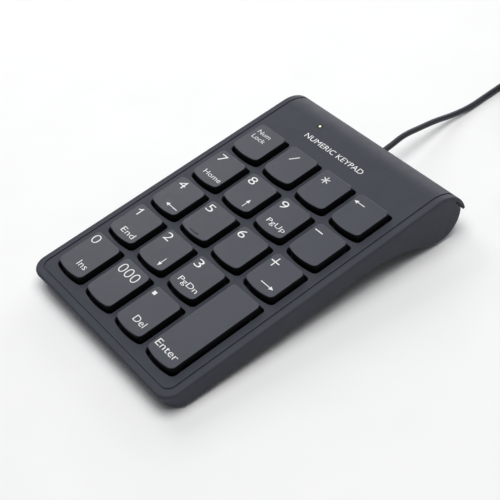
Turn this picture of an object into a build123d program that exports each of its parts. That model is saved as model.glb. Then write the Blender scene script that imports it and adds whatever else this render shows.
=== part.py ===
from build123d import *
from math import asin, cos, degrees, hypot, pi, radians, sin, tan
import os

os.makedirs("parts", exist_ok=True)

# Numeric keypad: a thin slab of scissor-switch keys whose rear end rolls over and
# swells into a foot, with a USB cable leaving under the roll. Millimetres.
# The keys lie on a sloping deck, so most pieces are drawn in the deck's own frame:
# x to the right, y up the slope to the back, z straight out of the deck.
# The deck's origin is on its top surface, at the middle of the front row of keys.

# ---------------------------------------------------------------- driving dimensions
tilt = 5.5                    # slope of the deck above the desk, degrees
deck_y = -46.77               # deck origin in the object's frame
deck_z = 9.71

pitch = 19.0                  # spacing of the keys, both ways
columns = [-1.5 * pitch, -0.5 * pitch, 0.5 * pitch, 1.5 * pitch]
travel = 2.2                  # how far a key goes down

body_half = 43.4              # half the width of the casing
front = -18.8                 # front edge, along the deck
front_lean = 2.2              # how far the case's front wall leans in on its way down
cover_wall = 1.3              # deck plate and roll
corner_radius = 6.0           # front corners in plan
inner_corner_radius = 7.0     # those of the room inside the case
edge_radius = 0.9             # rounding of the cover's rim
roll_y, roll_z = 99.8, -12.0  # axis of the roll at the rear
roll_radius = 12.0
roll_sweep = 82.0             # how far the roll turns down, degrees
slab_under = -7.4             # underside of the thin part
bulge_y, bulge_z = 99.5, -8.0
bulge_radius = 10.3
ramp_angle = 26.5             # slope of the underside between slab and bulge
ramp_blend = 13.0             # tangent length of the blend at the front of the ramp
case_wall = 1.5
side_wall = 1.8
lip_gap = 0.8                 # shadow gap behind the tip of the roll
lip_gap_start = 7.6           # how far behind the roll's axis the gap opens

groove_inset = 3.1            # decorative line round the deck
groove_width = 0.7
groove_depth = 0.35

# keycaps, measured from the key's place on the grid
cap_half = 7.33
cap_back = 7.91
cap_front = -7.89
front_row_extra = 3.04        # the front row's keys are this much longer
cap_bow = 1.12                # the front edge bulges by this much
cap_top = 2.38                # above the deck
cap_under = 1.3               # underside of the cap's plate
cap_skirt = -0.4              # lower edge of the cap's wall
cap_wall = 1.0
gap_side, gap_back, gap_front = 1.0, 0.7, 1.04

# layers inside, heights in the deck's frame
membrane_top = -3.7
film = 0.1                    # each of the membrane's three layers
plate_top = -4.0
plate_thick = 0.4
plate_half = 36.8
plate_front, plate_back = -15.6, 86.6

# scissor mechanism under each key
scissor_low, scissor_high = -3.05, 0.65   # heights of the cross bars' centres
scissor_reach = 10.4                      # between the cross bars' centres
scissor_bar = 0.9
outer_half, inner_half = 5.8, 4.7         # half widths of the two loops
scissor_lean = degrees(asin((scissor_high - scissor_low) / scissor_reach))
scissor_foot = scissor_reach / 2 * cos(radians(scissor_lean))

dome_height = 3.85
dome_radius = 3.3

# stabiliser wire under the long key
wire_radius = 0.45
wire_x, wire_z = 6.5, -3.2                # its hinge bar, from the key's middle
wire_arm = 8.0
wire_tip_z = 0.55
wire_span = 14.5                          # half the length of the hinge bar
wire_tip = 3.2                            # length of each turned-in tip
wire_lean = degrees(asin((wire_tip_z - wire_z) / wire_arm))
wire_tip_x = wire_x - wire_arm * cos(radians(wire_lean))

# screws: (across, along, height of the head's seat)
screw_x = 39.2
screw_places = [(side * screw_x, y, -6.5) for side in (-1, 1) for y in (-11.0, 24.0, 61.5)]
screw_places += [(side * screw_x, 92.0, -8.0) for side in (-1, 1)]
screw_head, screw_shank = 1.9, 0.98
head_height = 0.8
seat_wall = 1.0               # case material between a screw's head and the cover's boss
boss_radius = 2.2
seat_radius = 3.1             # case bosses that the screws' heads bear on
rib_wide = 1.2                # ribs under the base plate

# electronics in the bulge
pcb_x, pcb_front, pcb_back = 28.0, 89.5, 103.5
pcb_top, pcb_thick = -7.0, 1.2
pcb_under = pcb_top - pcb_thick
pcb_screw_x, pcb_screw_y = 22.0, 96.5
pcb_post_radius = 2.4
led_x, led_y = -19.9, 98.7
chip_x, chip_y = 14.0, 97.5
pipe_radius = 0.6

# USB cable
cable_radius = 1.15
grommet_radius = 1.9
exit_x, exit_y, exit_z = -1.8, 110.2, -11.7   # end of the grommet, deck frame
coil_x, coil_y = 9.15, 148.2                  # put-away coil on the desk
coil_mean = 13.8                              # radius at the middle of its turns
coil_columns, coil_layers = 3, 4
coil_lift = 0.5                               # thickness of the tie below the coil
coil_half = coil_columns * cable_radius
coil_height = coil_layers * 2 * cable_radius
tie_angle, tie_width, tie_thick = -30.0, 5.0, 0.5
plug_x, plug_y, plug_z = 40.0, 142.6, 4.2     # where the cable enters the plug
plug_length, plug_width, plug_height = 26.0, 15.6, 8.4
relief_length = 7.0                           # taper between the cable and the plug
shell_length, shell_width, shell_height = 12.0, 12.0, 4.5
shell_metal = 0.3

deck = Plane(
    origin=(0, deck_y, deck_z),
    x_dir=(1, 0, 0),
    z_dir=(0, -sin(radians(tilt)), cos(radians(tilt))),
)
# the deck's side view: local x runs up the slope, local y out of the deck
side_view = Plane(origin=deck.origin, x_dir=deck.y_dir, z_dir=deck.x_dir)
deck_normal = Axis(deck.origin, deck.z_dir)
deck_along = Axis(deck.origin, deck.y_dir)


def place(x, y, z):
    """A point given in the deck's frame."""
    return deck.from_local_coords(Vector(x, y, z))


def level(x, y, z):
    """A plane parallel to the deck, with its origin at a point of the deck's frame."""
    return Plane(origin=place(x, y, z), x_dir=deck.x_dir, z_dir=deck.z_dir)


def leaning(x, y, z, angle):
    """A plane through a point of the deck's frame, its back raised by a further angle."""
    lean = radians(tilt + angle)
    return Plane(origin=place(x, y, z), x_dir=(1, 0, 0), z_dir=(0, -sin(lean), cos(lean)))


def facing_back(x, y, z):
    """A plane square to the deck's long direction, its normal towards the back."""
    return Plane(origin=place(x, y, z), x_dir=(-1, 0, 0), z_dir=deck.y_dir)


def across(x):
    """The side view plane moved sideways."""
    return Plane(origin=place(x, 0, 0), x_dir=deck.y_dir, z_dir=deck.x_dir)


def save(part, label):
    part.label = label
    export_step(part, f"parts/{label}.step")


def outline(half, low, high, bow, low_radius, high_radius):
    """Plan of a key or of its opening: straight sides and back, bowed front edge."""
    with BuildSketch() as plan:
        with BuildLine():
            Polyline((-half, low + bow), (-half, high), (half, high), (half, low + bow))
            ThreePointArc((half, low + bow), (0, low), (-half, low + bow))
        make_face()
        corners = plan.vertices().sort_by(Axis.Y)
        fillet(corners[:2], low_radius)
        fillet(plan.vertices().sort_by(Axis.Y)[-2:], high_radius)
    return plan.sketch


# ---------------------------------------------------------------- the keys' places
class Key:
    def __init__(self, name, column, row, extra_front=0.0, extra_back=0.0):
        self.name = name
        self.x, self.y = columns[column], row * pitch
        self.front = cap_front - extra_front
        self.back = cap_back + extra_back
        self.middle = self.y + (self.front + self.back) / 2


keys = [Key(name, column, 0, front_row_extra) for column, name in enumerate(("0", "000", "decimal"))]
keys += [Key(name, column, 1) for column, name in enumerate("123")]
keys += [Key(name, column, 2) for column, name in enumerate(("4", "5", "6", "plus"))]
keys += [Key(name, column, 3) for column, name in enumerate(("7", "8", "9", "minus"))]
top_row = ("num_lock", "divide", "multiply", "backspace")
keys += [Key(name, column, 4) for column, name in enumerate(top_row)]
enter = Key("enter", 3, 0, front_row_extra, pitch)
keys.append(enter)

# ---------------------------------------------------------------- top cover
post_places = [(x, (row + 0.5) * pitch) for x in (-pitch, 0, pitch) for row in range(4)]

with BuildPart() as top_cover:
    # side view of the deck plate with its roll, pulled to the full width
    with BuildSketch(side_view):
        with BuildLine():
            Polyline((roll_y, -cover_wall), (front, -cover_wall), (front, 0), (roll_y, 0))
            rolled = CenterArc((roll_y, roll_z), roll_radius, 90, -roll_sweep)
            inside = CenterArc((roll_y, roll_z), roll_radius - cover_wall, 90, -roll_sweep)
            Line(rolled @ 1, inside @ 1)
        make_face()
    extrude(amount=body_half, both=True)
    corner_edges = top_cover.edges().filter_by(deck_normal).group_by(deck_along)[0]
    fillet(corner_edges, corner_radius)
    # rim: the front edge, the two corners, the sides and the ends of the roll
    rim = top_cover.faces().filter_by(deck_normal).sort_by(deck_normal)[-1].outer_wire().edges()
    rim = rim.sort_by(deck_along)[:-1]
    rim += [
        e for e in top_cover.edges().filter_by(GeomType.CIRCLE)
        if abs(e.radius - roll_radius) < 0.01 and abs(abs(e.center().X) - body_half) < 0.01
    ]
    fillet(rim, edge_radius)
    # openings for the keys
    for key in keys:
        hole = outline(
            cap_half + gap_side, key.front - gap_front, key.back + gap_back, cap_bow, 2.0, 1.3
        )
        with BuildSketch(level(key.x, key.y, 0)):
            add(hole)
        extrude(amount=-2 * cover_wall, mode=Mode.SUBTRACT)
    # decorative line: along the front and sides, then over the roll
    with BuildSketch(deck):
        for inset, mode in ((groove_inset - groove_width / 2, Mode.ADD),
                            (groove_inset + groove_width / 2, Mode.SUBTRACT)):
            length = 2 * (roll_y - front - inset)
            with Locations((0, front + inset + length / 2)):
                RectangleRounded(
                    2 * (body_half - inset), length, corner_radius - inset + 0.8, mode=mode
                )
        with Locations((0, roll_y + 100)):
            Rectangle(4 * body_half, 200, mode=Mode.SUBTRACT)
    extrude(amount=-groove_depth, mode=Mode.SUBTRACT)
    for side in (-1, 1):
        with BuildSketch(across(side * (body_half - groove_inset))):
            with Locations((roll_y, roll_z)):
                Circle(roll_radius + 1)
                Circle(roll_radius - groove_depth, mode=Mode.SUBTRACT)
            with Locations((roll_y - 50, roll_z)):
                Rectangle(100, 100, mode=Mode.SUBTRACT)
        extrude(amount=groove_width / 2, both=True, mode=Mode.SUBTRACT)
    # posts that hold the switch layers down, between the keys
    with BuildSketch(level(0, 0, -cover_wall)):
        with Locations(*post_places):
            Circle(0.9)
    extrude(amount=membrane_top + cover_wall)
    # screw bosses, each down to the seat of its screw in the bottom case
    for x, y, seat in screw_places:
        with BuildSketch(level(x, y, -cover_wall)):
            Circle(boss_radius)
            Circle(screw_shank + 0.02, mode=Mode.SUBTRACT)
        extrude(amount=seat + seat_wall + cover_wall)
    # the light pipe's hole
    with BuildSketch(level(led_x, led_y, 0)):
        Circle(pipe_radius + 0.02)
    extrude(amount=-2 * cover_wall, mode=Mode.SUBTRACT)
save(top_cover.part, "top_cover")

# ---------------------------------------------------------------- bottom case
lean = radians(ramp_angle)
bulge_join = (bulge_y - bulge_radius * sin(lean), bulge_z - bulge_radius * cos(lean))
ramp_corner = bulge_join[0] - (slab_under - bulge_join[1]) / tan(lean)
ramp_start = (ramp_corner - ramp_blend, slab_under)
ramp_end = (ramp_corner + ramp_blend * cos(lean), slab_under - ramp_blend * sin(lean))


def case_profile(inset):
    """Side view of the space below the cover, drawn in by a wall's thickness."""
    with BuildSketch() as profile:
        with BuildLine():
            Polyline((bulge_y, bulge_z), (bulge_y, -cover_wall), (front, -cover_wall),
                     (front + front_lean, slab_under), ramp_start)
            TangentArc(ramp_start, ramp_end, tangent=(1, 0))
            Line(ramp_end, bulge_join)
            Line(bulge_join, (bulge_y, bulge_z))
        make_face()
        with Locations((bulge_y, bulge_z)):
            Circle(bulge_radius)
        with Locations((roll_y, -cover_wall - 4)):
            Rectangle(8, 8)
        # keep what lies under the roll: tight at the top, a gap behind the lip
        with BuildSketch(mode=Mode.INTERSECT):
            with Locations((roll_y - 100, -100 - cover_wall)):
                Rectangle(200, 200)
            with Locations((roll_y, roll_z)):
                Circle(roll_radius - cover_wall)
            with Locations((roll_y + lip_gap_start, roll_z)):
                Rectangle(100, 2 * roll_radius, align=(Align.MIN, Align.CENTER), mode=Mode.SUBTRACT)
            with Locations((roll_y, roll_z)):
                Circle(roll_radius - cover_wall - lip_gap)
            with Locations((roll_y, roll_z - 50)):
                Rectangle(100, 100)
        if inset:
            offset(amount=-inset, kind=Kind.INTERSECTION, mode=Mode.REPLACE)
    return profile.sketch


hollow_back = roll_y + 3      # how far back the case is open to the deck
wall_slope = front_lean / (-cover_wall - slab_under)
opening_low, opening_high = -3.5, 1.0
opening_front = [
    (front + case_wall * hypot(1, wall_slope) + wall_slope * (-cover_wall - z), z)
    for z in (opening_low, opening_high)
]
pcb_screw_places = [(side * pcb_screw_x, pcb_screw_y) for side in (-1, 1)]

with BuildPart() as hollow:
    # the room inside, open to the deck
    with BuildSketch(side_view):
        add(case_profile(case_wall))
        with BuildLine():
            Polyline(
                *opening_front, (hollow_back, opening_high), (hollow_back, opening_low), close=True
            )
        make_face()
    extrude(amount=body_half - side_wall, both=True)
    # round its front corners, inside those of the case
    with BuildSketch(deck):
        with Locations((0, front + case_wall)):
            RectangleRounded(
                2 * (body_half - side_wall), 400, inner_corner_radius, align=(Align.CENTER, Align.MIN)
            )
    extrude(amount=100, both=True, mode=Mode.INTERSECT)
    # ribs that carry the base plate
    with BuildSketch(level(0, (plate_front + plate_back) / 2, plate_top - plate_thick)):
        with Locations(*[(x, 0) for x in columns]):
            Rectangle(rib_wide, plate_back - plate_front - 6)
    extrude(amount=-5, mode=Mode.SUBTRACT)
    # bosses that the case screws' heads bear on, and posts for the controller board
    for x, y, seat in screw_places:
        with BuildSketch(level(x, y, seat + seat_wall)):
            Circle(seat_radius)
        extrude(amount=-20, mode=Mode.SUBTRACT)
    for x, y in pcb_screw_places:
        with BuildSketch(level(x, y, pcb_under)):
            Circle(pcb_post_radius)
        extrude(amount=-20, mode=Mode.SUBTRACT)

with BuildPart() as bottom_case:
    with BuildSketch(side_view):
        add(case_profile(0))
    extrude(amount=body_half, both=True)
    # the front wall's two upright corners, then the slab's lower rim
    places = [(edge, deck.to_local_coords(edge.center())) for edge in bottom_case.edges()]
    corner_edges = [
        edge for edge, at in places
        if abs(abs(at.X) - body_half) < 0.01 and abs(at.Y - front - front_lean / 2) < 0.01
    ]
    fillet(corner_edges, corner_radius)
    places = [(edge, deck.to_local_coords(edge.center())) for edge in bottom_case.edges()]
    lower_rim = [edge for edge, at in places if abs(at.Z - slab_under) < 0.01 and at.Y < ramp_start[0]]
    fillet(lower_rim, edge_radius)
    add(hollow.part, mode=Mode.SUBTRACT)
    # pockets for the screws' heads, holes for their shanks
    for x, y, seat in screw_places:
        with BuildSketch(level(x, y, seat)):
            Circle(screw_head + 0.2)
        extrude(amount=-20, mode=Mode.SUBTRACT)
        with BuildSketch(level(x, y, seat)):
            Circle(screw_shank + 0.15)
        extrude(amount=seat_wall, mode=Mode.SUBTRACT)
    for x, y in pcb_screw_places:
        with BuildSketch(level(x, y, pcb_under)):
            Circle(0.8)
        extrude(amount=-5, mode=Mode.SUBTRACT)
    # the cable's way out through the rear wall
    with BuildSketch(facing_back(exit_x, exit_y - 6, exit_z)):
        Circle(grommet_radius + 0.05)
    extrude(amount=10, mode=Mode.SUBTRACT)
save(bottom_case.part, "bottom_case")

# ---------------------------------------------------------------- rubber feet
front_foot_y, rear_foot_y = -10.0, bulge_y
foot_places = [(side * 29.0, y) for side in (-1, 1) for y in (front_foot_y, rear_foot_y)]

with BuildPart() as rubber_feet:
    for x, y in foot_places:
        under = place(x, y, slab_under if y < 0 else bulge_z - bulge_radius)
        with BuildSketch(Plane(origin=(x, under.Y, 0))):
            RectangleRounded(12, 6, 2.9)
        extrude(amount=under.Z + 1.2)
    add(bottom_case.part, mode=Mode.SUBTRACT)
save(rubber_feet.part, "rubber_feet")

# ---------------------------------------------------------------- base plate
# hooks that hold the scissors' low cross bars: (across, along, which way the lip points)
hooks = []
for key in keys:
    for side in (-1.6, 1.6):
        hooks.append((key.x + side, key.middle - scissor_foot, 1))
        hooks.append((key.x + side, key.middle + scissor_foot, -1))
hook_out, hook_wide, hook_metal, hook_lip = 0.89, 1.2, 0.4, -2.4
staple_top = wire_z + wire_radius + 0.25
wire_hooks = [(enter.x + wire_x, enter.middle + side * 9.0) for side in (-1, 1)]

with BuildPart() as base_plate:
    with BuildSketch(level(0, (plate_front + plate_back) / 2, plate_top)):
        RectangleRounded(2 * plate_half, plate_back - plate_front, 2)
    extrude(amount=-plate_thick)
    with BuildSketch(level(0, 0, plate_top)):
        for x, y, way in hooks:
            with Locations((x, y - way * hook_out)):
                Rectangle(hook_wide, hook_metal)
    extrude(amount=hook_lip + hook_metal - plate_top)
    with BuildSketch(level(0, 0, hook_lip)):
        for x, y, way in hooks:
            with Locations((x, y - way * (hook_out - 0.35))):
                Rectangle(hook_wide, hook_metal + 0.7)
    extrude(amount=hook_metal)
    # two staples over the stabiliser wire
    with BuildSketch(level(0, 0, plate_top)):
        with Locations(*wire_hooks):
            Rectangle(2.2, 1.2)
    extrude(amount=staple_top - plate_top)
    with BuildSketch(facing_back(enter.x + wire_x, enter.middle - 12, wire_z)):
        Circle(wire_radius + 0.05)
    extrude(amount=24, mode=Mode.SUBTRACT)
save(base_plate.part, "base_plate")

# ---------------------------------------------------------------- membrane
tail_half = 7.0
tail_path = [(plate_back - 3, plate_top + film / 2), (plate_back + 1.5, plate_top + film / 2),
             (plate_back + 4, pcb_top + film / 2), (pcb_front + 5, pcb_top + film / 2)]

with BuildPart() as membrane_sheet:
    for layer in range(3):
        with BuildSketch(level(0, (plate_front + plate_back) / 2, plate_top + layer * film)):
            RectangleRounded(2 * plate_half, plate_back - plate_front - 1, 2)
            with Locations((0, -(plate_front + plate_back) / 2)):
                for x, y, way in hooks:
                    with Locations((x, y - way * hook_out)):
                        Rectangle(hook_wide + 0.6, hook_metal + 0.6, mode=Mode.SUBTRACT)
                with Locations(*wire_hooks):
                    Rectangle(2.8, 1.8, mode=Mode.SUBTRACT)
        extrude(amount=film)
    # the bottom film's tail, down to the controller board
    with BuildSketch(side_view):
        with BuildLine() as tail_line:
            Polyline(*tail_path)
        trace(tail_line.line, line_width=film)
    extrude(amount=tail_half, both=True)
save(membrane_sheet.part, "membrane_sheet")

# ---------------------------------------------------------------- rubber domes
with BuildPart() as rubber_domes:
    for key in keys:
        centre = level(key.x, key.middle, membrane_top)
        with BuildSketch(Plane(origin=centre.origin, x_dir=deck.x_dir, z_dir=-deck.y_dir)):
            with BuildLine():
                Polyline(
                    (0, 2.6), (1.4, 2.6), (2.4, 0.5), (2.5, 0), (dome_radius, 0), (dome_radius, 0.4),
                    (2.8, 0.55), (1.8, 2.9), (1.8, dome_height), (0, dome_height), close=True
                )
            make_face()
        revolve(axis=Axis(centre.origin, centre.z_dir))
save(rubber_domes.part, "rubber_domes")

# ---------------------------------------------------------------- keycaps
boss_drop = cap_under - (membrane_top + dome_height + 0.05)
clip_x, clip_wide, clip_thick, clip_drop = 3.0, 0.9, 0.5, 1.0
ear_thick = 0.8


def make_keycap(key):
    with BuildPart() as cap:
        with BuildSketch(level(key.x, key.y, cap_top)):
            add(outline(cap_half, key.front, key.back, cap_bow, 2.14, 1.65))
        extrude(amount=cap_skirt - cap_top)
        fillet(cap.faces().filter_by(deck_normal).sort_by(deck_normal)[-1].edges(), 0.3)
        with BuildSketch(level(key.x, key.y, cap_skirt)):
            add(outline(
                cap_half - cap_wall, key.front + cap_wall, key.back - cap_wall, cap_bow, 1.2, 0.8
            ))
        extrude(amount=cap_under - cap_skirt, mode=Mode.SUBTRACT)
        # boss that rests on the rubber dome
        with BuildSketch(level(key.x, key.middle, cap_under)):
            Circle(1.7)
        extrude(amount=-boss_drop)
        # clips on both sides of the scissors' high cross bars
        with BuildSketch(level(key.x, key.middle, cap_under)):
            for way in (-1, 1):
                for side in (-clip_x, clip_x):
                    for along in (scissor_foot - 1.0, scissor_foot + 1.1):
                        with Locations((side, way * along)):
                            Rectangle(clip_wide, clip_thick)
        extrude(amount=-clip_drop)
        if key.name == "5":
            with BuildSketch(level(key.x, key.y - 6.1, cap_top)):
                SlotOverall(4.6, 0.7)
            extrude(amount=0.25)
        if key is enter:
            # slotted ears that the stabiliser wire's tips slide in
            for way in (-1, 1):
                ear_y = key.middle + way * (wire_span - 1.8) - ear_thick / 2
                with BuildSketch(facing_back(key.x, ear_y, cap_under)):
                    with Locations((0.75, -1.0)):
                        Rectangle(4.2, 2.0)
                    with Locations((0.75, wire_tip_z - cap_under)):
                        Rectangle(2.6, 2 * wire_radius + 0.34, mode=Mode.SUBTRACT)
                extrude(amount=ear_thick)
            # notches in the wall that clear the staples at the end of the travel
            with BuildSketch(level(0, 0, cap_skirt)):
                with Locations(*wire_hooks):
                    Rectangle(3, 2.4)
            extrude(amount=0.3, mode=Mode.SUBTRACT)
    return cap.part


for key in keys:
    save(make_keycap(key), f"key_{key.name}")

# ---------------------------------------------------------------- scissors
scissor_middle = (scissor_low + scissor_high) / 2


def make_scissor(key):
    """Outer and inner loops, crossed and pinned at the middle of their sides."""
    with BuildPart() as pair:
        for way, half in ((1, outer_half), (-1, inner_half)):
            plane = leaning(key.x, key.middle, scissor_middle, way * scissor_lean)
            with BuildSketch(plane):
                RectangleRounded(2 * half, scissor_reach + scissor_bar, 0.5)
                Rectangle(2 * (half - scissor_bar), scissor_reach - scissor_bar, mode=Mode.SUBTRACT)
            extrude(amount=scissor_bar / 2, both=True)
            for side in (-1, 1):
                with BuildSketch(across(key.x + side * (inner_half + (outer_half - inner_half) / 2))):
                    with Locations((key.middle, scissor_middle)):
                        Circle(0.35 if way < 0 else 0.4)
                extrude(amount=0.6, both=True, mode=Mode.ADD if way < 0 else Mode.SUBTRACT)
    return pair.part


for key in keys:
    save(make_scissor(key), f"scissor_{key.name}")

# ---------------------------------------------------------------- stabiliser wire
with BuildPart() as enter_stabiliser_wire:
    with BuildLine() as wire_path:
        ends = [
            (wire_tip_x, wire_span - wire_tip, wire_tip_z),
            (wire_tip_x, wire_span, wire_tip_z),
            (wire_x, wire_span, wire_z),
        ]
        half_path = [place(enter.x + x, enter.middle + y, z) for x, y, z in ends]
        other_half = [place(enter.x + x, enter.middle - y, z) for x, y, z in ends]
        FilletPolyline(*half_path, *reversed(other_half), radius=0.8)
    with BuildSketch(Plane(origin=wire_path.line @ 0, z_dir=wire_path.line % 0)):
        Circle(wire_radius)
    sweep()
save(enter_stabiliser_wire.part, "enter_stabiliser_wire")

# ---------------------------------------------------------------- screws
with BuildPart() as case_screws:
    for x, y, seat in screw_places:
        with BuildSketch(level(x, y, seat)):
            Circle(screw_head)
        extrude(amount=-head_height)
        with BuildSketch(level(x, y, seat)):
            Circle(screw_shank)
        extrude(amount=3.6)
        with BuildSketch(level(x, y, seat - head_height)):
            Rectangle(2.2, 0.5)
            Rectangle(0.5, 2.2)
        extrude(amount=0.5, mode=Mode.SUBTRACT)
save(case_screws.part, "case_screws")

# ---------------------------------------------------------------- electronics
with BuildPart() as controller_pcb:
    with BuildSketch(level(0, (pcb_front + pcb_back) / 2, pcb_top)):
        RectangleRounded(2 * pcb_x, pcb_back - pcb_front, 1)
    extrude(amount=-pcb_thick)
    with BuildSketch(level(0, 0, pcb_top)):
        with Locations(*pcb_screw_places):
            Circle(1.1)
    extrude(amount=-pcb_thick, mode=Mode.SUBTRACT)
save(controller_pcb.part, "controller_pcb")

with BuildPart() as pcb_screws:
    for x, y in pcb_screw_places:
        with BuildSketch(level(x, y, pcb_top)):
            Circle(1.9)
        extrude(amount=0.8)
        with BuildSketch(level(x, y, pcb_top)):
            Circle(0.78)
        extrude(amount=-5)
        with BuildSketch(level(x, y, pcb_top + 0.8)):
            Rectangle(2.2, 0.5)
            Rectangle(0.5, 2.2)
        extrude(amount=-0.4, mode=Mode.SUBTRACT)
save(pcb_screws.part, "pcb_screws")

with BuildPart() as controller_chip:
    with BuildSketch(level(chip_x, chip_y, pcb_top)):
        Rectangle(7.5, 5.5)
    extrude(amount=1.6)
    fillet(controller_chip.edges().filter_by(deck_normal), 0.3)
    for way in (-1, 1):
        with BuildSketch(level(chip_x, chip_y + way * 3.3, pcb_top)):
            with GridLocations(1.0, 1, 7, 1):
                Rectangle(0.4, 1.2)
        extrude(amount=0.4)
save(controller_chip.part, "controller_chip")

with BuildPart() as status_led:
    with BuildSketch(level(led_x, led_y, pcb_top)):
        Rectangle(1.6, 0.9)
    extrude(amount=0.7)
save(status_led.part, "status_led")

with BuildPart() as led_light_pipe:
    with BuildSketch(deck.offset(-cover_wall)):
        with Locations((led_x, led_y)):
            Circle(1.5)
    extrude(amount=-0.8)
    with BuildSketch(deck.offset(pcb_top + 0.9)):
        with Locations((led_x, led_y)):
            Circle(pipe_radius)
    extrude(amount=-pcb_top - 0.9)
save(led_light_pipe.part, "led_light_pipe")

# ---------------------------------------------------------------- cable
with BuildPart() as cable_grommet:
    with BuildSketch(facing_back(exit_x, exit_y, exit_z)):
        Circle(grommet_radius)
    extrude(amount=-5.6)
    with BuildSketch(facing_back(exit_x, exit_y - 4.6, exit_z)):
        Circle(grommet_radius + 0.6)
    extrude(amount=-1.2)
    fillet(cable_grommet.edges().filter_by(GeomType.CIRCLE).sort_by(deck_along)[-1], 0.4)
save(cable_grommet.part, "cable_grommet")


def tube(points, radius):
    """A round tube along straight runs joined by the largest arcs that they allow."""
    points = [Vector(*p) for p in points]
    runs = [b - a for a, b in zip(points, points[1:])]
    radii = [
        0.45 * min(a.length, b.length) / tan(radians(a.get_angle(b)) / 2)
        for a, b in zip(runs, runs[1:])
    ]
    with BuildPart() as made:
        with BuildLine() as path:
            FilletPolyline(*points, radius=radii)
        with BuildSketch(Plane(origin=path.line @ 0, z_dir=path.line % 0)):
            Circle(radius)
        sweep()
    length = sum(edge.length for edge in path.edges())
    expected = pi * radius**2 * length
    print("tube", round(length, 1), "mm, volume", round(made.part.volume, 2), "of",
          round(expected, 2), "radii", [round(r, 1) for r in radii],
          "runs", [round(r.length, 1) for r in runs])
    return made.part


exit_point = place(exit_x, exit_y, exit_z)
inner_end = place(exit_x, exit_y - 5.8, exit_z)
lead_points = [
    inner_end,
    place(exit_x, exit_y - 8, exit_z),
    place(exit_x + 2.5, 98.8, pcb_under - 1.6),
    place(exit_x + 2.5, 95.5, pcb_under - 1.2),
]
save(tube(lead_points, cable_radius - 0.05), "cable_inner_lead")

coil_entry = coil_mean + (coil_columns - 1) * cable_radius
cable_points = [
    exit_point,
    place(exit_x, exit_y + 6.0, exit_z),
    (-2.8, 77.7, 9.7),
    (-3.9, 86.7, 7.6),
    (-5.0, 96.7, 5.3),
    (-5.6, 106.7, 2.4),
    (-5.7, 116.2, 1.2),
    (-6.4, 125.7, 1.2),
    (-6.9, 134.2, 1.35),
    (coil_x - coil_entry, 142.7, 1.5),
]
save(tube(cable_points, cable_radius), "usb_cable")

tail_points = [
    (-6.9, 141.2, 8.55),
    (-9.9, 149.6, 8.4),
    (-9.4, 158.6, 7.7),
    (-5.2, 166.8, 6.4),
    (1.9, 172.8, 4.8),
    (10.7, 176.0, 3.2),
    (20.0, 176.2, 2.0),
    (28.7, 173.0, 1.7),
    (35.2, 166.5, 2.5),
    (38.9, 158.2, 3.6),
    (plug_x, 149.8, plug_z),
    (plug_x, plug_y, plug_z),
]
save(tube(tail_points, cable_radius), "usb_cable_tail")

with BuildPart() as usb_cable_coil:
    with BuildSketch(Plane(origin=(coil_x, coil_y, 0), x_dir=(1, 0, 0), z_dir=(0, -1, 0))):
        with Locations((coil_mean, coil_lift + coil_height / 2)):
            RectangleRounded(2 * coil_half, coil_height, cable_radius)
    revolve(axis=Axis((coil_x, coil_y, 0), (0, 0, 1)))
save(usb_cable_coil.part, "usb_cable_coil")

with BuildPart() as cable_tie:
    across_tie, along_tie = cos(radians(tie_angle)), sin(radians(tie_angle))
    spoke = Plane(
        origin=(coil_x + coil_mean * across_tie, coil_y + coil_mean * along_tie, 0),
        x_dir=(across_tie, along_tie, 0),
        z_dir=(along_tie, -across_tie, 0),
    )
    tie_high = coil_height + 2 * tie_thick
    with BuildSketch(spoke):
        with Locations((0, tie_high / 2)):
            RectangleRounded(2 * (coil_half + tie_thick + 0.25), tie_high, 1.4)
    extrude(amount=tie_width / 2, both=True)
    add(usb_cable_coil.part, mode=Mode.SUBTRACT)
save(cable_tie.part, "cable_tie")

# ---------------------------------------------------------------- USB plug
plug_end = Plane(origin=(plug_x, plug_y, plug_z), x_dir=(1, 0, 0), z_dir=(0, -1, 0))

with BuildPart() as usb_plug_body:
    with BuildSketch(plug_end):
        Circle(cable_radius + 0.9)
    with BuildSketch(plug_end.offset(relief_length)):
        Circle(cable_radius + 2.0)
    loft()
    with BuildSketch(plug_end.offset(relief_length)):
        RectangleRounded(plug_width, plug_height, 2.4)
    extrude(amount=plug_length)
    ends = usb_plug_body.faces().filter_by(Axis.Y).sort_by(Axis.Y)
    fillet(ends[0].outer_wire().edges(), 0.8)
save(usb_plug_body.part, "usb_plug_body")

plug_nose = relief_length + plug_length
with BuildPart() as usb_plug_shell:
    with BuildSketch(plug_end.offset(plug_nose)):
        RectangleRounded(shell_width, shell_height, 0.5)
        RectangleRounded(
            shell_width - 2 * shell_metal, shell_height - 2 * shell_metal, 0.3, mode=Mode.SUBTRACT
        )
    extrude(amount=shell_length)
    with BuildSketch(Plane.XY.offset(plug_z + shell_height / 2)):
        with Locations(*[(plug_x + side * 2.25, plug_y - plug_nose - 6.0) for side in (-1, 1)]):
            Rectangle(2.5, 2.0)
    extrude(amount=-shell_height, mode=Mode.SUBTRACT)
save(usb_plug_shell.part, "usb_plug_shell")

with BuildPart() as usb_plug_tongue:
    with BuildSketch(plug_end.offset(plug_nose)):
        with Locations((0, -0.95)):
            Rectangle(shell_width - 2 * shell_metal - 0.6, 1.9)
    extrude(amount=shell_length - 0.6)
save(usb_plug_tongue.part, "usb_plug_tongue")
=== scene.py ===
"""Looks of a slim numeric keypad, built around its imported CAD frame.

Blender works in metres in the object's frame. Sizes and places that are easier to read in
millimetres are given so, and turned into metres with MM.
"""
import math

import bmesh
import bpy
from mathutils import Matrix, Vector


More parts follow.
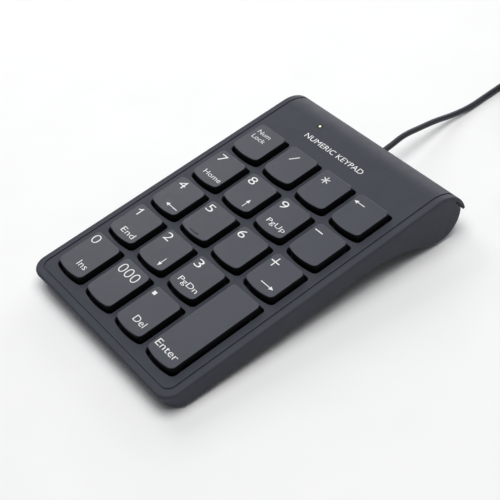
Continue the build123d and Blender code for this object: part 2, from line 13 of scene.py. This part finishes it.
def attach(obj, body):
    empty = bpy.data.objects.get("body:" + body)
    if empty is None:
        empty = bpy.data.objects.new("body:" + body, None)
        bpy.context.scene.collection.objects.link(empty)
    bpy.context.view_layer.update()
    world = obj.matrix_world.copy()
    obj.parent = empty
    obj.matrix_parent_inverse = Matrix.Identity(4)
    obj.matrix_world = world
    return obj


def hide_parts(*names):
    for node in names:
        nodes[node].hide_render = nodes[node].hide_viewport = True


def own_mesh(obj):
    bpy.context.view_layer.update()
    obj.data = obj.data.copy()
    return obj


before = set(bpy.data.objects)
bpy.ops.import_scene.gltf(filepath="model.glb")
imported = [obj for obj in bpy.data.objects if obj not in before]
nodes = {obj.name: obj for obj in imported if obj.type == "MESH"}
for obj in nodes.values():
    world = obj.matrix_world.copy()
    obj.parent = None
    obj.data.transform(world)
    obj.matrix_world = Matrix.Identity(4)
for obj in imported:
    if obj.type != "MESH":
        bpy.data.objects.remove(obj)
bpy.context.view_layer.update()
MM = 0.001

# ---------------------------------------------------------------- the sloping deck
TILT = math.radians(5.5)
DECK_ORIGIN = Vector((0, -46.77, 9.71)) * MM   # on its surface, amid the front row
DECK = Matrix.Translation(DECK_ORIGIN) @ Matrix.Rotation(TILT, 4, "X")
NORMAL = Vector((0, -math.sin(TILT), math.cos(TILT)))

PITCH = 19.0
COLUMNS = (-1.5 * PITCH, -0.5 * PITCH, 0.5 * PITCH, 1.5 * PITCH)
CAP_TOP = 2.38               # top of the keycaps above the deck
KEY_PLACES = {
    "0": (0, 0), "000": (1, 0), "decimal": (2, 0), "enter": (3, 0),
    "1": (0, 1), "2": (1, 1), "3": (2, 1),
    "4": (0, 2), "5": (1, 2), "6": (2, 2), "plus": (3, 2),
    "7": (0, 3), "8": (1, 3), "9": (2, 3), "minus": (3, 3),
    "num_lock": (0, 4), "divide": (1, 4), "multiply": (2, 4), "backspace": (3, 4),
}
CAP_FRONT, CAP_BACK = -7.89, 7.91   # edges of a keycap, from its grid place
FRONT_ROW_EXTRA = 3.04       # how much further forward the front row's keycaps reach
LIGHT_PLACE = (-19.9, 98.7)  # the status light


def on_deck(x, y, z):
    """A point of the deck's frame, given in millimetres, as a point of the object's frame."""
    return DECK @ (Vector((x, y, z)) * MM)


def key_centre(name):
    """Middle of a key's place on the grid, in the deck's frame."""
    column, row = KEY_PLACES[name]
    return COLUMNS[column], row * PITCH


def cap_middle(name):
    """How far behind its grid place the middle of a keycap is."""
    front = CAP_FRONT - (FRONT_ROW_EXTRA if KEY_PLACES[name][1] == 0 else 0)
    back = CAP_BACK + (PITCH if name == "enter" else 0)
    return (front + back) / 2


# ---------------------------------------------------------------- camera
CAMERA_PLACE = Vector((274.63, -167.55, 298.506)) * MM
CAMERA_TURN = (47.034, 6.163, 52.801)   # degrees about X, Y and Z
SENSOR_WIDTH, FOCAL_LENGTH = 36, 87.447
NEAREST_SEEN = 10 * MM

camera = bpy.data.objects.new("camera", bpy.data.cameras.new("camera"))
bpy.context.scene.collection.objects.link(camera)
bpy.context.scene.camera = camera
camera.location = CAMERA_PLACE
camera.rotation_euler = [math.radians(a) for a in CAMERA_TURN]
camera.data.sensor_width = SENSOR_WIDTH
camera.data.lens = FOCAL_LENGTH
camera.data.clip_start = NEAREST_SEEN


# ---------------------------------------------------------------- cord
CABLE_RADIUS = 1.15
# millimetres, from the grommet in the rear wall to the coil
CABLE_POINTS = [
    on_deck(-1.8, 110.2, -11.7) / MM,
    on_deck(-1.8, 116.2, -11.7) / MM,
    (-2.8, 77.7, 9.7),
    (-3.9, 86.7, 7.6),
    (-5.0, 96.7, 5.3),
    (-5.6, 106.7, 2.4),
    (-5.7, 116.2, 1.2),
    (-6.4, 125.7, 1.2),
    (-6.9, 134.2, 1.35),
    (-6.95, 142.7, 1.5),
]
# millimetres, from the top of the coil to the plug
TAIL_POINTS = [
    (-8.7, 143.4, 8.5),
    (-9.9, 149.6, 8.4),
    (-9.4, 158.6, 7.7),
    (-5.2, 166.8, 6.4),
    (1.9, 172.8, 4.8),
    (10.7, 175.8, 3.2),
    (20.0, 176.0, 2.0),
    (28.7, 173.0, 1.7),
    (35.2, 166.5, 2.5),
    (38.9, 158.2, 3.6),
    (40.0, 149.8, 4.2),
    (40.0, 142.6, 4.2),
]
COIL_CENTRE = (9.15, 148.2)
COIL_MEAN = 13.8             # radius at the middle of the turns
COIL_COLUMNS, COIL_LAYERS = 3, 4   # turns side by side, and on each other
COIL_LIFT = 0.5              # the tie's thickness, under the turns
TURN_POINTS = 24             # points on the route in one turn
CHANGE_START = -0.23         # where the cord begins to move to its next place, in turns
CHANGE_WIDTH = 0.21          # over what share of a turn it moves
CHANGE_BULGE = 0.95          # how far it swings out or in while it climbs a layer
LAST_TURN_END = 11.93        # where the cord leaves the coil, in turns


def smooth(t):
    """Goes from 0 to 1 as t does, level at both ends."""
    t = min(max(t, 0.0), 1.0)
    return t * t * (3 - 2 * t)


def coil_places():
    """Radius and height of each turn: along a layer inwards, along the next outwards."""
    middle = (COIL_COLUMNS - 1) / 2
    radii = [COIL_MEAN + (middle - c) * 2 * CABLE_RADIUS for c in range(COIL_COLUMNS)]
    places = []
    for layer in range(COIL_LAYERS):
        height = COIL_LIFT + CABLE_RADIUS * (1 + 2 * layer)
        places += [(radius, height) for radius in radii]
        radii.reverse()
    # the cord steps outwards once more where it leaves
    places.append((places[-1][0] + 2 * CABLE_RADIUS, places[-1][1]))
    return places


def coil_points():
    """The turns of the put-away coil, from the floor up, clockwise from its left side."""
    places = coil_places()
    half_step = math.pi / TURN_POINTS
    points = []
    for i in range(1, int(LAST_TURN_END * TURN_POINTS) + 1):
        turned = i / TURN_POINTS
        turn = min(int(turned - CHANGE_START), len(places) - 1)
        old_radius, old_height = places[max(turn - 1, 0)]
        radius, height = places[turn]
        share = (turned - turn - CHANGE_START) / CHANGE_WIDTH
        if height != old_height and 0 < share < 1:
            side = 1 if radius > COIL_MEAN else -1
            radius += side * CHANGE_BULGE * math.sin(math.pi * share)
        else:
            radius = old_radius + (radius - old_radius) * smooth(share)
        height = old_height + (height - old_height) * smooth(share)
        angle = math.pi - 2 * math.pi * turned
        # the line touches the middle of each side, so its points stand further out
        reach = radius / math.cos(half_step)
        points.append((
            COIL_CENTRE[0] + reach * math.cos(angle),
            COIL_CENTRE[1] + reach * math.sin(angle),
            height,
        ))
    return points


def make_cord():
    """The whole cable on one smooth line: to the coil, its turns, and on to the plug."""
    curve = bpy.data.curves.new("usb_cord", "CURVE")
    curve.dimensions = "3D"
    points = CABLE_POINTS + coil_points() + TAIL_POINTS
    spline = curve.splines.new("NURBS")
    spline.points.add(len(points) - 1)
    for point, place in zip(spline.points, points):
        point.co = (*(Vector(place) * MM), 1)
        point.radius = CABLE_RADIUS * MM
    spline.order_u = 3
    spline.use_endpoint_u = True
    spline.resolution_u = 5
    curve.bevel_depth = 1        # times each point's radius
    curve.bevel_resolution = 4
    curve.use_fill_caps = True
    cord = bpy.data.objects.new("usb_cord", curve)
    bpy.context.scene.collection.objects.link(cord)
    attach(cord, "casing")
    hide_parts("usb_cable", "usb_cable_coil", "usb_cable_tail")
    return cord


cord = make_cord()


# ---------------------------------------------------------------- materials
class Shader:
    """A node material: a principled shader and short ways to feed its sockets."""

    def __init__(self, name, **values):
        self.material = bpy.data.materials.new(name)
        self.material.use_nodes = True
        self.tree = self.material.node_tree
        self.shader = self.tree.nodes["Principled BSDF"]
        for socket, value in values.items():
            self.shader.inputs[socket.replace("_", " ")].default_value = value
        self.texture = self.tree.nodes.new("ShaderNodeTexCoord")
        self.coordinates = self.texture.outputs["Object"]

    def node(self, kind, settings=None, **inputs):
        """A new node; an input is a value or the output that feeds it."""
        made = self.tree.nodes.new(kind)
        for key, value in (settings or {}).items():
            setattr(made, key, value)
        for key, value in inputs.items():
            self.feed(made.inputs[key.replace("_", " ")], value)
        return made

    def feed(self, socket, value):
        if isinstance(value, bpy.types.NodeSocket):
            self.tree.links.new(value, socket)
        else:
            socket.default_value = value

    def noise(self, size, detail=2.0, roughness=0.5, vector=None):
        """Cloudy grey values; size is the width of a cloud in millimetres."""
        made = self.node(
            "ShaderNodeTexNoise", Scale=1 / (size * MM), Detail=detail, Roughness=roughness,
            Vector=vector or self.coordinates,
        )
        return made.outputs["Fac"]

    def ramp(self, factor, stops):
        """Colours or greys at places from 0 to 1."""
        made = self.node("ShaderNodeValToRGB", Fac=factor)
        elements = made.color_ramp.elements
        while len(elements) < len(stops):
            elements.new(0.5)
        for element, (place, colour) in zip(elements, stops):
            element.position = place
            element.color = colour if hasattr(colour, "__len__") else (colour,) * 3 + (1,)
        return made.outputs["Color"]

    def mix(self, factor, first, second):
        """The first colour where factor is 0, the second where it is 1."""
        made = self.node("ShaderNodeMix", {"data_type": "RGBA"})
        self.feed(made.inputs["Factor"], factor)
        for socket, value in ((made.inputs[6], first), (made.inputs[7], second)):
            self.feed(socket, value)
        return made.outputs[2]

    def bump(self, height, depth):
        """Relief of a real depth in millimetres."""
        made = self.node("ShaderNodeBump", Height=height, Distance=depth * MM, Strength=1.0)
        return made.outputs["Normal"]

    def set(self, **values):
        """Feeds the shader's own sockets and returns the finished material."""
        for socket, value in values.items():
            self.feed(self.shader.inputs[socket.replace("_", " ")], value)
        return self.material


def grey(value, tint=(1, 1, 1)):
    """An opaque colour of one value, with a tint."""
    return tuple(value * t for t in tint) + (1,)


COOL = (0.85, 0.94, 1.22)    # the cool cast of the dark plastic
KEY_CAST = (0.84, 0.94, 1.32)   # that of the keycaps, a little cooler
LIGHT_COLOUR = (0.75, 1.0, 0.5)
LIGHT_STRENGTH = 1.4


def moulded_plastic(name, shade, texture_size, texture_depth, rough, gloss_level=0.5,
                    painted_wall_shade=None, cast=COOL):
    """Moulded plastic with a fine spark texture and slight clouding. With a painted wall
    shade, only what faces out of the deck is textured, and the walls are smooth and painted
    darker, as painted shade."""
    s = Shader(name, Specular_IOR_Level=gloss_level)
    grain = s.noise(texture_size, detail=3.0, roughness=0.6)
    clouds = s.noise(9.0, detail=4.0)
    tone = s.ramp(clouds, [(0.3, grey(shade * 0.94, cast)), (0.7, grey(shade * 1.06, cast))])
    flecks = s.ramp(
        s.noise(texture_size * 0.7),
        [(0.35, grey(shade * 0.85, cast)), (0.65, grey(shade * 1.15, cast))],
    )
    colour = s.mix(0.35, tone, flecks)
    gloss = s.ramp(s.noise(3.0, detail=5.0), [(0.3, rough - 0.04), (0.7, rough + 0.05)])
    # painted shade: what does not face out of the deck gets the near-black painted wall shade
    if painted_wall_shade is not None:
        facing = s.node("ShaderNodeVectorMath", {"operation": "DOT_PRODUCT"})
        s.feed(facing.inputs[0], s.texture.outputs["Normal"])
        facing.inputs[1].default_value = NORMAL
        top = s.ramp(facing.outputs["Value"], [(0.45, 0.0), (0.8, 1.0)])
        colour = s.mix(top, grey(painted_wall_shade, cast), colour)
        gloss = s.mix(top, grey(0.5), gloss)
    return s.set(Base_Color=colour, Roughness=gloss, Normal=s.bump(grain, texture_depth))


def rubbery(name, shade, rough, grain_size, grain_depth):
    """Soft rubber or cable jacket, clouded and with a fine matt grain."""
    s = Shader(name, Specular_IOR_Level=0.35)
    clouds = s.ramp(
        s.noise(5.0, detail=4.0),
        [(0.3, grey(shade * 0.85, COOL)), (0.7, grey(shade * 1.15, COOL))],
    )
    gloss = s.ramp(s.noise(1.5, detail=3.0), [(0.3, rough - 0.06), (0.7, rough + 0.08)])
    grain = s.bump(s.noise(grain_size, detail=3.0), grain_depth)
    return s.set(Base_Color=clouds, Roughness=gloss, Normal=grain)


SCRATCH_SIZE = 0.15          # width of the scratches in metal


def brushed_metal(name, shade, rough, along):
    """Metal with fine scratches, drawn out where along has a small share."""
    s = Shader(name, Metallic=1.0)
    stretched = s.node("ShaderNodeVectorMath", {"operation": "MULTIPLY"})
    s.feed(stretched.inputs[0], s.coordinates)
    stretched.inputs[1].default_value = along
    scratches = s.noise(SCRATCH_SIZE, detail=4.0, vector=stretched.outputs[0])
    stains = s.noise(6.0, detail=5.0)
    tone = s.ramp(stains, [(0.3, grey(shade * 0.85)), (0.7, grey(shade * 1.05))])
    gloss = s.ramp(scratches, [(0.3, rough - 0.08), (0.7, rough + 0.12)])
    return s.set(Base_Color=tone, Roughness=gloss, Normal=s.bump(scratches, 0.004))


def circuit_board(name):
    """Green solder mask over copper tracks."""
    s = Shader(name, Coat_Weight=0.4, Coat_Roughness=0.15)
    tracks = s.node(
        "ShaderNodeTexBrick", {"offset": 0.3}, Scale=1 / (7 * MM), Vector=s.coordinates,
        Mortar_Size=0.05, Mortar_Smooth=0.2,
    )
    tracks.inputs["Color1"].default_value = (0.008, 0.07, 0.022, 1)
    tracks.inputs["Color2"].default_value = (0.012, 0.09, 0.03, 1)
    tracks.inputs["Mortar"].default_value = (0.03, 0.17, 0.06, 1)
    fine = s.noise(0.5, detail=3.0)
    return s.set(
        Base_Color=tracks.outputs["Color"],
        Roughness=s.ramp(fine, [(0.3, 0.28), (0.7, 0.4)]),
        Normal=s.bump(tracks.outputs["Fac"], 0.03),
    )


def film_with_painted_shade(name):
    """Polyester film, near-black as painted shade for the gaps round the keys, with the
    switch matrix printed in a lighter grey.
    """
    s = Shader(name, Specular_IOR_Level=0.08)
    wave = s.node(
        "ShaderNodeTexWave", {"wave_type": "BANDS", "bands_direction": "X"},
        Scale=1 / (PITCH * MM), Distortion=0.6, Detail=1.0, Vector=s.coordinates,
    )
    print_on_painted_shade = s.ramp(wave.outputs["Fac"], [(0.9, grey(0.004, COOL)), (0.96, grey(0.012, COOL))])
    gloss = s.ramp(s.noise(4.0), [(0.3, 0.5), (0.7, 0.62)])
    return s.set(Base_Color=print_on_painted_shade, Roughness=gloss)


def lit_lens(name, reach):
    """Lens of the status light: bright within reach of its axis, with a dark rim."""
    s = Shader(name, Coat_Weight=0.6, Coat_Roughness=0.1)
    fine = s.noise(0.4, detail=3.0)
    apart = s.node("ShaderNodeVectorMath", {"operation": "SUBTRACT"})
    s.feed(apart.inputs[0], s.coordinates)
    apart.inputs[1].default_value = on_deck(*LIGHT_PLACE, 0)
    # leave out the depth along the axis, and measure the distance in twice the reach
    flat = s.node("ShaderNodeVectorMath", {"operation": "CROSS_PRODUCT"})
    s.feed(flat.inputs[0], apart.outputs[0])
    flat.inputs[1].default_value = NORMAL
    away = s.node("ShaderNodeVectorMath", {"operation": "LENGTH"})
    s.feed(away.inputs[0], flat.outputs[0])
    share = s.node("ShaderNodeMath", {"operation": "DIVIDE"})
    s.feed(share.inputs[0], away.outputs["Value"])
    share.inputs[1].default_value = 2 * reach * MM
    bright = LIGHT_COLOUR + (1,)
    rim = tuple(c * 0.03 for c in LIGHT_COLOUR) + (1,)
    glow = s.ramp(share.outputs[0], [(0.0, bright), (0.4, bright), (0.6, rim)])
    s.shader.inputs["Emission Strength"].default_value = LIGHT_STRENGTH
    gloss = s.ramp(fine, [(0.3, 0.2), (0.7, 0.3)])
    return s.set(Base_Color=glow, Emission_Color=glow, Roughness=gloss)


def printed_ink(name, value, tint=(1, 1, 1)):
    """Pad-printed ink, a little uneven where it is thin."""
    s = Shader(name, Specular_IOR_Level=0.3)
    thin = s.noise(0.25, detail=4.0)
    tone = s.ramp(thin, [(0.25, grey(value * 0.86, tint)), (0.6, grey(value, tint))])
    gloss = s.ramp(thin, [(0.3, 0.45), (0.7, 0.6)])
    return s.set(Base_Color=tone, Roughness=gloss, Normal=s.bump(thin, 0.003))


# shade, size and depth of the texture in millimetres, roughness
case_plastic = moulded_plastic("case_plastic", 0.052, 0.22, 0.008, 0.55, gloss_level=0.2)
# keycaps, with their side walls painted near-black as painted shade
key_plastic = moulded_plastic(
    "key_plastic", 0.046, 0.16, 0.008, 0.4, gloss_level=0.45, painted_wall_shade=0.003, cast=KEY_CAST,
)
# the crossed loops' near-black is painted shade for the gaps round the keys
scissor_plastic = moulded_plastic("scissor_plastic", 0.008, 0.5, 0.004, 0.5)
chip_epoxy = moulded_plastic("chip_epoxy", 0.02, 0.2, 0.01, 0.5)
plug_plastic = moulded_plastic("plug_plastic", 0.04, 0.3, 0.014, 0.45)
tie_plastic = moulded_plastic("tie_plastic", 0.02, 0.6, 0.02, 0.4)
tongue_plastic = moulded_plastic("tongue_plastic", 0.7, 0.4, 0.004, 0.35, cast=(1, 1, 1))
# shade, roughness, size and depth of the grain in millimetres
cable_jacket = rubbery("cable_jacket", 0.034, 0.48, 0.35, 0.01)
foot_rubber = rubbery("foot_rubber", 0.02, 0.75, 0.5, 0.03)
dome_rubber = rubbery("dome_rubber", 0.1, 0.5, 0.5, 0.01)
# shade, roughness, and the share of the scratches' fineness along X, Y and Z
plated_steel = brushed_metal("plated_steel", 0.6, 0.3, along=(0.05, 1, 1))
# steel of the base plate, near-black as painted shade for the gaps round the keys
coated_steel = brushed_metal("coated_steel", 0.02, 0.45, along=(0.05, 1, 1))
screw_steel = brushed_metal("screw_steel", 0.25, 0.32, along=(1, 1, 1))
nickel = brushed_metal("nickel", 0.75, 0.18, along=(1, 0.05, 1))
board_green = circuit_board("board_green")
film_print_and_shade = film_with_painted_shade("film_print_and_shade")
led_lens = lit_lens("led_lens", reach=0.9)
pipe_lens = lit_lens("pipe_lens", reach=0.4)
legend_ink = printed_ink("legend_ink", 0.88)
ring_olive = printed_ink("ring_olive", 0.012, (0.8, 1.0, 0.3))

NODE_MATERIALS = {
    "bottom_case": case_plastic, "top_cover": case_plastic, "base_plate": coated_steel,
    "membrane_sheet": film_print_and_shade, "controller_pcb": board_green, "controller_chip": chip_epoxy,
    "status_led": led_lens, "led_light_pipe": pipe_lens, "case_screws": screw_steel,
    "pcb_screws": screw_steel, "rubber_feet": foot_rubber, "cable_grommet": cable_jacket,
    "cable_inner_lead": cable_jacket, "cable_tie": tie_plastic, "usb_plug_body": plug_plastic,
    "usb_plug_shell": nickel, "usb_plug_tongue": tongue_plastic,
    "enter_stabiliser_wire": plated_steel,
}


def dress(obj, material):
    """Gives an object one material all over."""
    obj.data.materials.clear()
    obj.data.materials.append(material)


for node, material in NODE_MATERIALS.items():
    dress(nodes[node], material)
for name in KEY_PLACES:
    dress(nodes[f"key_{name}"], key_plastic)
dress(cord, cable_jacket)


# ---------------------------------------------------------------- scissors and domes
def add_piece(name, mesh, material, body):
    """A new visible piece that rides on a body."""
    piece = bpy.data.objects.new(name, mesh)
    bpy.context.scene.collection.objects.link(piece)
    dress(piece, material)
    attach(piece, body)
    return piece


# height of a foot in the deck's frame, and the share of its height that a pressed key leaves
DOME_FOOT, DOME_KEEP = -3.7, 0.43


def make_scissors():
    """A copy of each key's crossed loops, as a piece that rides on the casing."""
    for name in KEY_PLACES:
        node = f"scissor_{name}"
        mesh = nodes[node].data.copy()
        piece = add_piece(f"crossed_loops_{name}", mesh, scissor_plastic, "casing")
        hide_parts(node)
        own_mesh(piece)


# side profile of a rubber dome: radius and height above its foot
DOME_PROFILE = [
    (3.3, 0.0), (3.3, 0.25), (2.9, 0.3), (2.65, 0.5), (2.3, 1.3), (1.95, 2.2), (1.75, 2.8),
    (1.7, 3.3), (1.55, 3.65), (1.2, 3.8), (0.9, 3.82), (0.75, 3.6), (0.0, 3.55),
]
DOME_SIDES = 32


def lathe(mesh_name, profile):
    """A closed round mesh from a side profile that ends on its axis, its foot flat."""
    turns = [2 * math.pi * i / DOME_SIDES for i in range(DOME_SIDES)]
    made = bmesh.new()
    rings = []
    for radius, height in profile[:-1]:
        rings.append([
            made.verts.new((radius * MM * math.cos(a), radius * MM * math.sin(a), height * MM))
            for a in turns
        ])
    tip = made.verts.new((0, 0, profile[-1][1] * MM))
    for low, high in zip(rings, rings[1:]):
        for i in range(DOME_SIDES):
            j = (i + 1) % DOME_SIDES
            made.faces.new((low[i], low[j], high[j], high[i]))
    for i in range(DOME_SIDES):
        made.faces.new((rings[-1][i], rings[-1][(i + 1) % DOME_SIDES], tip))
    made.faces.new(list(reversed(rings[0])))
    mesh = bpy.data.meshes.new(mesh_name)
    made.to_mesh(mesh)
    made.free()
    mesh.shade_smooth()
    return mesh


def make_domes():
    """A rubber dome under the middle of each key, as a piece that rides on the casing."""
    for name in KEY_PLACES:
        x, y = key_centre(name)
        foot = on_deck(x, y + cap_middle(name), DOME_FOOT)
        mesh = lathe(f"dome_{name}", DOME_PROFILE)
        mesh.transform(Matrix.Translation(foot) @ Matrix.Rotation(TILT, 4, "X"))
        piece = add_piece(f"dome_{name}", mesh, dome_rubber, "casing")
        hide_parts("rubber_domes")
        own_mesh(piece)


make_scissors()
make_domes()


# ---------------------------------------------------------------- printed legends
INK_RISE = 0.02              # ink above the plastic that it is printed on
MARK_BOX = (-20.4, 11.6, 91.2, 93.5)   # left, right, low, high of the words on the cover
ARROW_STROKE = 0.32          # width of an arrow's shaft
ARROW_HEAD, ARROW_SPREAD = 1.7, 0.8    # length and half width of its head
STAR_STROKE = 0.38           # width of a star's arms
STAR_ARMS = 6
RING_INNER, RING_OUTER = 0.62, 1.25    # radii of the printed ring round the status light
RING_SIDES = 48


def text_mesh(name, text, weight):
    """The outline of a text as a flat mesh; weight thickens or thins its strokes."""
    font = bpy.data.curves.new(name, "FONT")
    font.body = text
    font.offset = weight
    font.resolution_u = 6
    writer = bpy.data.objects.new(name, font)
    bpy.context.scene.collection.objects.link(writer)
    bpy.context.view_layer.update()
    evaluated = writer.evaluated_get(bpy.context.evaluated_depsgraph_get())
    mesh = bpy.data.meshes.new_from_object(evaluated)
    bpy.data.objects.remove(writer)
    return mesh


def polygon_mesh(name, outlines):
    """A flat mesh with one face for each outline."""
    made = bmesh.new()
    for outline in outlines:
        made.faces.new([made.verts.new((x, y, 0)) for x, y in outline])
    mesh = bpy.data.meshes.new(name)
    made.to_mesh(mesh)
    made.free()
    return mesh


def fit(mesh, left, right, low, high):
    """Scales a flat mesh into a rectangle given in millimetres."""
    xs = [v.co.x for v in mesh.vertices]
    ys = [v.co.y for v in mesh.vertices]
    wider = (right - left) / (max(xs) - min(xs))
    taller = (high - low) / (max(ys) - min(ys))
    for v in mesh.vertices:
        v.co.x = left + (v.co.x - min(xs)) * wider
        v.co.y = low + (v.co.y - min(ys)) * taller


def print_on_key(name, key, mesh):
    """Lays a flat mesh, in millimetres from the key's grid place, on the keycap's top."""
    x, y = key_centre(key)
    up = Matrix.Translation(Vector((x, y, CAP_TOP + INK_RISE)) * MM)
    mesh.transform(DECK @ up @ Matrix.Scale(MM, 4))
    add_piece(name, mesh, legend_ink, f"key_{key}")


def arrow(x, y, dx, dy, length):
    """Outline of a thin arrow centred on x, y that points along dx, dy."""
    half = ARROW_STROKE / 2
    tip = length / 2
    neck = tip - ARROW_HEAD
    outline = [
        (-tip, -half), (neck, -half), (neck, -ARROW_SPREAD), (tip, 0),
        (neck, ARROW_SPREAD), (neck, half), (-tip, half),
    ]
    return [(x + u * dx - v * dy, y + u * dy + v * dx) for u, v in outline]


def bar(x0, x1, y0, y1):
    """Outline of an upright rectangle."""
    return [(x0, y0), (x1, y0), (x1, y1), (x0, y1)]


DIGIT, WORD, FINE = -0.005, -0.004, -0.016   # how much the strokes are thinned
# text, its key and the rectangle it fills: left, right, low, high from the key's grid place
TEXTS = [
    ("7", "7", -5.2, -1.8, 2.9, 6.3, DIGIT), ("8", "8", -5.7, -2.4, 3.1, 6.6, DIGIT),
    ("9", "9", -6.2, -2.9, 3.0, 6.4, DIGIT), ("4", "4", -5.2, -1.7, 3.3, 6.8, DIGIT),
    ("5", "5", -6.1, -2.9, 3.1, 6.4, DIGIT), ("6", "6", -6.2, -2.9, 3.1, 6.5, DIGIT),
    ("2", "2", -6.1, -2.8, 3.1, 6.6, DIGIT), ("3", "3", -6.2, -3.0, 3.1, 6.6, DIGIT),
    ("0", "0", -6.3, -2.9, 2.9, 6.8, FINE), ("000", "000", -5.7, 4.8, 1.9, 6.0, FINE),
    ("Num", "num_lock", -5.1, 1.9, 3.4, 5.3, WORD), ("Lock", "num_lock", -5.1, 2.0, 0.4, 2.4, WORD),
    ("Home", "7", -3.5, 6.2, -4.8, -2.7, WORD), ("PgUp", "9", -3.6, 5.9, -5.1, -2.5, WORD),
    ("End", "1", -2.0, 5.4, -5.4, -3.0, WORD), ("PgDn", "3", -4.6, 5.6, -5.4, -2.5, WORD),
    ("Ins", "0", 0.05, 5.05, -6.9, -4.3, WORD), ("Del", "decimal", -1.3, 4.7, -7.05, -4.4, WORD),
    ("Enter", "enter", -6.2, 5.3, -7.4, -4.7, WORD),
]
# outlines printed on a key, from the key's grid place
SIGNS = {
    "1": [[
        (-4.15, 3.1), (-3.6, 3.1), (-3.6, 6.6), (-4.0, 6.6),
        (-4.5, 6.0), (-5.4, 5.55), (-5.4, 5.1), (-4.15, 5.6),
    ]],
    "minus": [bar(-6.2, -2.3, 4.5, 4.92)],
    "plus": [
        bar(-6.4, -2.3, 4.17, 4.63), bar(-4.58, -4.12, 2.35, 4.17), bar(-4.58, -4.12, 4.63, 6.45),
        arrow(1.8, -4.2, 1, 0, 6.5),
    ],
    "decimal": [bar(-5.9, -4.3, 4.3, 5.8)],
    "divide": [[(-3.2, 1.9), (-2.65, 1.9), (-0.1, 5.1), (-0.65, 5.1)]],
    "backspace": [arrow(-4.0, 4.05, -1, 0, 5.2)],
    "8": [arrow(3.3, -3.9, 0, 1, 4.2)],
    "4": [arrow(2.7, -4.6, -1, 0, 6.5)],
    "2": [arrow(3.8, -3.95, 0, -1, 4.2)],
}


def star(x, y, reach):
    """Bars that meet at a point, as an asterisk's arms."""
    half = STAR_STROKE / 2
    outlines = []
    for i in range(STAR_ARMS):
        a = math.pi / 2 + 2 * math.pi * i / STAR_ARMS
        outlines.append([
            (x + u * math.cos(a) - v * math.sin(a), y + u * math.sin(a) + v * math.cos(a))
            for u, v in bar(0, reach, -half, half)
        ])
    return outlines


SIGNS["multiply"] = star(-3.0, 3.7, 1.75)

for text, key, left, right, low, high, weight in TEXTS:
    mesh = text_mesh(f"legend_{text}", text, weight)
    fit(mesh, left, right, low, high)
    print_on_key(f"legend_{key}_{text}", key, mesh)
for key, outlines in SIGNS.items():
    print_on_key(f"sign_{key}", key, polygon_mesh(f"sign_{key}", outlines))


def ring_mesh(name, x, y):
    """The flat ring round a point, in as many flat faces as it has sides."""
    turns = [2 * math.pi * i / RING_SIDES for i in range(RING_SIDES + 1)]
    inner = [(x + RING_INNER * math.cos(a), y + RING_INNER * math.sin(a)) for a in turns]
    outer = [(x + RING_OUTER * math.cos(a), y + RING_OUTER * math.sin(a)) for a in turns]
    return polygon_mesh(name, [
        [inner[i], outer[i], outer[i + 1], inner[i + 1]] for i in range(RING_SIDES)
    ])


def print_on_cover(name, mesh, material):
    """Lays a flat mesh, in millimetres of the deck's frame, on the top cover."""
    mesh.transform(DECK @ Matrix.Translation((0, 0, INK_RISE * MM)) @ Matrix.Scale(MM, 4))
    add_piece(name, mesh, material, "casing")


mark = text_mesh("mark", "NUMERIC KEYPAD", 0.0)
fit(mark, *MARK_BOX)
print_on_cover("mark", mark, legend_ink)
print_on_cover("light_ring", ring_mesh("light_ring", *LIGHT_PLACE), ring_olive)


# ---------------------------------------------------------------- floor and light
FLOOR_REACH = 3.0            # metres from its middle to each side


def make_floor():
    """A plain pale floor of slightly uneven paper."""
    mesh = polygon_mesh("floor", [bar(-FLOOR_REACH, FLOOR_REACH, -FLOOR_REACH, FLOOR_REACH)])
    floor = bpy.data.objects.new("floor", mesh)
    bpy.context.scene.collection.objects.link(floor)
    s = Shader("floor_paper", Specular_IOR_Level=0.1)
    soft = s.noise(40.0, detail=3.0)
    tone = s.ramp(soft, [(0.3, grey(0.94)), (0.7, grey(0.965))])
    gloss = s.ramp(soft, [(0.3, 0.85), (0.7, 0.95)])
    dress(floor, s.set(Base_Color=tone, Roughness=gloss))


def add_light(name, place, target, width, height, power):
    """An area light; places and sizes in metres, power in watts."""
    light = bpy.data.lights.new(name, "AREA")
    light.shape = "RECTANGLE"
    light.size, light.size_y = width, height
    light.energy = power
    lamp = bpy.data.objects.new(name, light)
    bpy.context.scene.collection.objects.link(lamp)
    lamp.location = place
    lamp.rotation_euler = (Vector(target) - Vector(place)).to_track_quat("-Z", "Y").to_euler()


make_floor()
add_light("key_light", (-0.75, 0.15, 0.55), (0, 0, 0), 0.5, 0.5, 2)
add_light("back_light", (-1.3, 1.8, 0.55), (0, 0.05, 0), 2.4, 1.0, 22)
add_light("top_light", (0.05, 0.05, 1.0), (0, 0, 0), 0.8, 0.8, 8)

world = bpy.data.worlds.new("studio")
bpy.context.scene.world = world
world.use_nodes = True
sky = world.node_tree.nodes["Background"]
sky.inputs["Color"].default_value = (0.95, 0.97, 1.0, 1)
sky.inputs["Strength"].default_value = 0.15
bpy.context.scene.view_settings.view_transform = "Standard"
